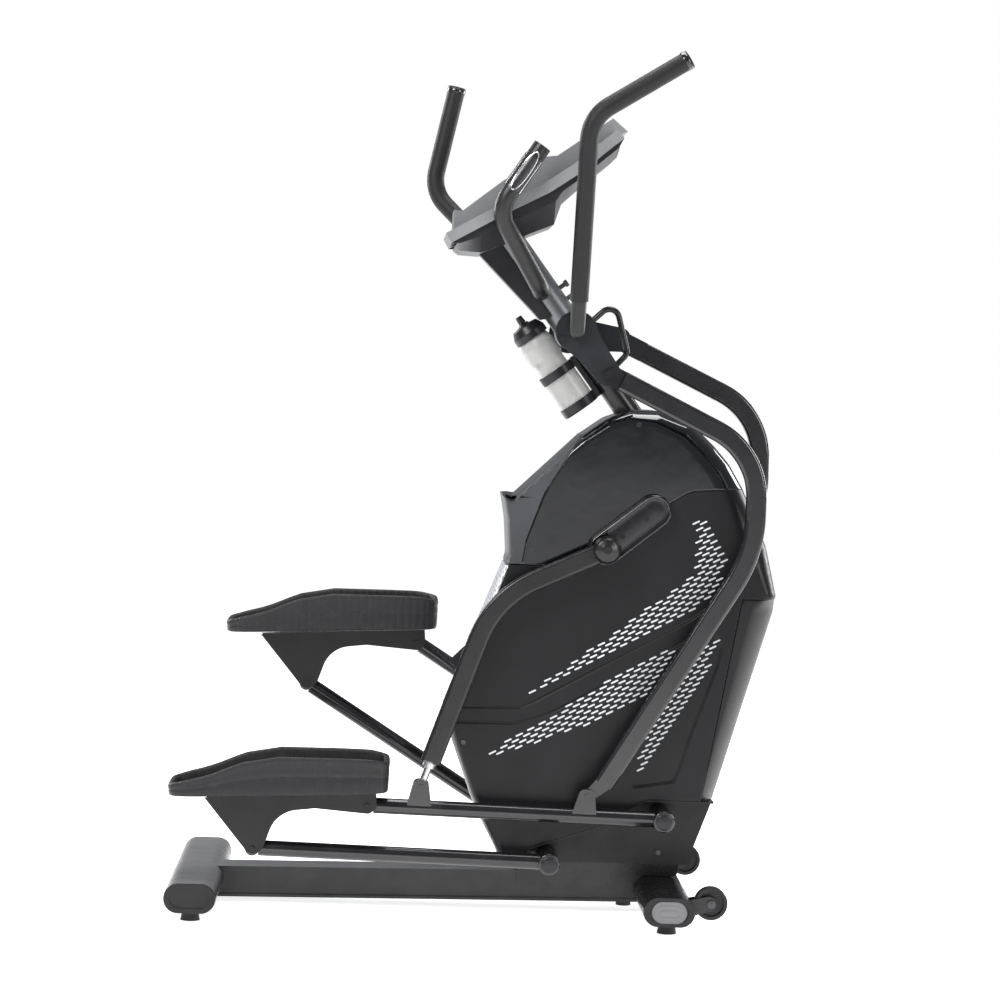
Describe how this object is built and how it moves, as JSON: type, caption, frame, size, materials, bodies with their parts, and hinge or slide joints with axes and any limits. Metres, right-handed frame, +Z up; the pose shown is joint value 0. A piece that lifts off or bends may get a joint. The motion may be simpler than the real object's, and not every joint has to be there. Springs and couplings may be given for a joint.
{
  "type": "elliptical trainer",
  "caption": "Elliptical trainer: paired foot trays on parallel links, side cranks, bent arm rods to swinging bars, fixed grips, console, drink bottle and a closed flywheel drive.",
  "frame": {"origin": "centre of the footprint of the whole machine, on the floor", "axes": "+Z up, +X the way the user faces, -Y the right-hand side of the user"},
  "size_m": [1.1868, 0.5924, 1.697],
  "materials": {
    "shroud_matte": "matte",
    "cover_gloss": "gloss",
    "crank_gloss": "gloss",
    "visor_grey": "satin",
    "rear_silver": "satin",
    "frame_black": "satin",
    "frame_grey": "satin",
    "mast_silver": "metallic satin",
    "lever_grey": "metallic satin",
    "tube_black": "satin",
    "bright_steel": "plated",
    "arm_steel": "machined",
    "wheel_iron": "turned",
    "pulley_metal": "turned",
    "belt_rubber": "matte",
    "grip_foam": "matte foam",
    "tray_plastic": "textured",
    "cap_plastic": "matte",
    "foot_rubber": "matte",
    "bottle_clear": "translucent",
    "bottle_black": "satin",
    "console_dark": "satin",
    "console_silver": "satin",
    "display_dark": "gloss",
    "key_green": "satin",
    "key_red": "satin",
    "sensor_chrome": "polished"
  },
  "bodies": {
    "frame": {"base_cover": "shroud_matte", "bolts_and_screws": "bright_steel", "bottle": "bottle_clear", "bottle_cage": "bottle_black", "bottle_cap": "bottle_black", "console_display": "display_dark", "console_lower_shell": "console_dark", "console_mast": "mast_silver", "console_top_shell": "console_silver", "crank_bearings": "bright_steel", "drive_belt": "belt_rubber", "fixed_axles": "bright_steel", "frame_upright": "frame_black", "front_cover": "cover_gloss", "front_stabiliser": "frame_black", "guard_loop": "frame_black", "levelling_feet": "foot_rubber", "main_beam": "frame_grey", "mast_fairing": "shroud_matte", "pulse_handlebar": "frame_black", "pulse_sensors": "sensor_chrome", "rear_panel": "rear_silver", "rear_stabiliser": "frame_grey", "shroud_left": "shroud_matte", "shroud_right": "shroud_matte", "stabiliser_end_caps": "cap_plastic", "upper_cover_left": "cover_gloss", "upper_cover_right": "cover_gloss", "visor": "visor_grey"},
    "crank": {"crank_axle": "bright_steel", "crank_arms": "arm_steel", "crank_covers": "crank_gloss", "drive_pulley": "pulley_metal"},
    "flywheel": {"flywheel": "wheel_iron"},
    "brake": {"brake_magnets": "arm_steel"},
    "nozzle": {"bottle_nozzle": "bottle_black"},
    "start_key": {"start_key": "key_green"},
    "stop_key": {"stop_key": "key_red"},
    "right_upper_link": {"right_upper_link": "frame_black"},
    "right_lower_link": {"right_lower_link": "frame_black"},
    "right_pedal": {"right_pedal_bracket": "tube_black", "right_pedal_tray": "tray_plastic"},
    "right_con_rod": {"right_con_rod": "frame_black", "right_rod_end": "bright_steel"},
    "right_arm_rod": {"right_arm_rod": "frame_black"},
    "right_handle": {"right_handle_lever": "lever_grey", "right_handle_tube": "tube_black", "right_handle_grip": "grip_foam"},
    "right_wheel": {"right_transport_wheel": "cap_plastic"},
    "left_upper_link": {"left_upper_link": "frame_black"},
    "left_lower_link": {"left_lower_link": "frame_black"},
    "left_pedal": {"left_pedal_bracket": "tube_black", "left_pedal_tray": "tray_plastic"},
    "left_con_rod": {"left_con_rod": "frame_black", "left_rod_end": "bright_steel"},
    "left_arm_rod": {"left_arm_rod": "frame_black"},
    "left_handle": {"left_handle_lever": "lever_grey", "left_handle_tube": "tube_black", "left_handle_grip": "grip_foam"},
    "left_wheel": {"left_transport_wheel": "cap_plastic"}
  },
  "joints": [
    {"name": "right_link_swing", "type": "hinge", "parent": "frame", "child": "right_upper_link", "pos_m": [0.374, -0.15, 0.205], "axis": [0, 1, 0], "range_deg": [0, 30.8]},
    {"name": "right_lower_link_swing", "type": "hinge", "parent": "frame", "child": "right_lower_link", "pos_m": [0.152, -0.15, 0.115], "axis": [0, 1, 0], "range_deg": [0, 30.8]},
    {"name": "right_pedal_pivot", "type": "hinge", "parent": "right_upper_link", "child": "right_pedal", "pos_m": [-0.20687, -0.15, 0.21717], "axis": [0, 1, 0], "range_deg": [-30.8, 0]},
    {"name": "right_con_rod_pivot", "type": "hinge", "parent": "right_upper_link", "child": "right_con_rod", "pos_m": [-0.10315, -0.15, 0.25726], "axis": [0, 1, 0], "range_deg": [-18.49, 0]},
    {"name": "right_arm_rod_pivot", "type": "hinge", "parent": "right_upper_link", "child": "right_arm_rod", "pos_m": [0.22308, -0.15, 0.24827], "axis": [0, 1, 0], "range_deg": [-31.17, 0]},
    {"name": "right_handle_swing", "type": "hinge", "parent": "frame", "child": "right_handle", "pos_m": [0.171, -0.15, 1.157], "axis": [0, 1, 0], "range_deg": [-45.73, 0]},
    {"name": "right_wheel_spin", "type": "hinge", "parent": "frame", "child": "right_wheel", "pos_m": [0.462, -0.262, 0.063], "axis": [0, 1, 0], "continuous": true},
    {"name": "left_link_swing", "type": "hinge", "parent": "frame", "child": "left_upper_link", "pos_m": [0.374, 0.15, 0.205], "axis": [0, 1, 0], "range_deg": [-30.8, 0]},
    {"name": "left_lower_link_swing", "type": "hinge", "parent": "frame", "child": "left_lower_link", "pos_m": [0.152, 0.15, 0.115], "axis": [0, 1, 0], "range_deg": [-30.8, 0]},
    {"name": "left_pedal_pivot", "type": "hinge", "parent": "left_upper_link", "child": "left_pedal", "pos_m": [-0.11872, 0.15, 0.51288], "axis": [0, 1, 0], "range_deg": [0, 30.8]},
    {"name": "left_con_rod_pivot", "type": "hinge", "parent": "left_upper_link", "child": "left_con_rod", "pos_m": [-0.00909, 0.15, 0.49421], "axis": [0, 1, 0], "range_deg": [0, 18.49]},
    {"name": "left_arm_rod_pivot", "type": "hinge", "parent": "left_upper_link", "child": "left_arm_rod", "pos_m": [0.26653, 0.15, 0.31945], "axis": [0, 1, 0], "range_deg": [0, 31.17]},
    {"name": "left_handle_swing", "type": "hinge", "parent": "frame", "child": "left_handle", "pos_m": [0.171, 0.15, 1.157], "axis": [0, 1, 0], "range_deg": [0, 45.73]},
    {"name": "left_wheel_spin", "type": "hinge", "parent": "frame", "child": "left_wheel", "pos_m": [0.462, 0.262, 0.063], "axis": [0, 1, 0], "continuous": true},
    {"name": "crank_spin", "type": "hinge", "parent": "frame", "child": "crank", "pos_m": [0.338, 0, 0.809], "axis": [0, 1, 0], "continuous": true},
    {"name": "flywheel_spin", "type": "hinge", "parent": "frame", "child": "flywheel", "pos_m": [0.25, -0.02, 0.44], "axis": [0, 1, 0], "continuous": true},
    {"name": "brake_swing", "type": "hinge", "parent": "frame", "child": "brake", "pos_m": [0.19343, -0.02, 0.58], "axis": [0, 1, 0], "range_deg": [0, 6]},
    {"name": "nozzle_lift", "type": "slide", "parent": "frame", "child": "nozzle", "axis": [-0.6018, 0, 0.7986], "range_m": [0, 0.005]},
    {"name": "start_key_press", "type": "slide", "parent": "frame", "child": "start_key", "axis": [0.5348, 0, -0.845], "range_m": [0, 0.0015], "stiffness_N_per_m": 400},
    {"name": "stop_key_press", "type": "slide", "parent": "frame", "child": "stop_key", "axis": [0.5348, 0, -0.845], "range_m": [0, 0.0015], "stiffness_N_per_m": 400}
  ],
  "couplings": [
    {"joint": "right_lower_link_swing", "follows": "right_link_swing", "ratio": 1},
    {"joint": "right_pedal_pivot", "follows": "right_link_swing", "ratio": -1},
    {"joint": "right_con_rod_pivot", "follows": "right_link_swing", "ratio": -0.60005},
    {"joint": "right_arm_rod_pivot", "follows": "right_link_swing", "ratio": -1.012},
    {"joint": "right_handle_swing", "follows": "right_link_swing", "ratio": -1.4843},
    {"joint": "left_link_swing", "follows": "right_link_swing", "ratio": -1},
    {"joint": "left_lower_link_swing", "follows": "right_link_swing", "ratio": -1},
    {"joint": "left_pedal_pivot", "follows": "right_link_swing", "ratio": 1},
    {"joint": "left_con_rod_pivot", "follows": "right_link_swing", "ratio": 0.60005},
    {"joint": "left_arm_rod_pivot", "follows": "right_link_swing", "ratio": 1.012},
    {"joint": "left_handle_swing", "follows": "right_link_swing", "ratio": 1.4843},
    {"joint": "crank_spin", "follows": "right_link_swing", "ratio": 5.8442},
    {"joint": "flywheel_spin", "follows": "right_link_swing", "ratio": 31.877}
  ]
}
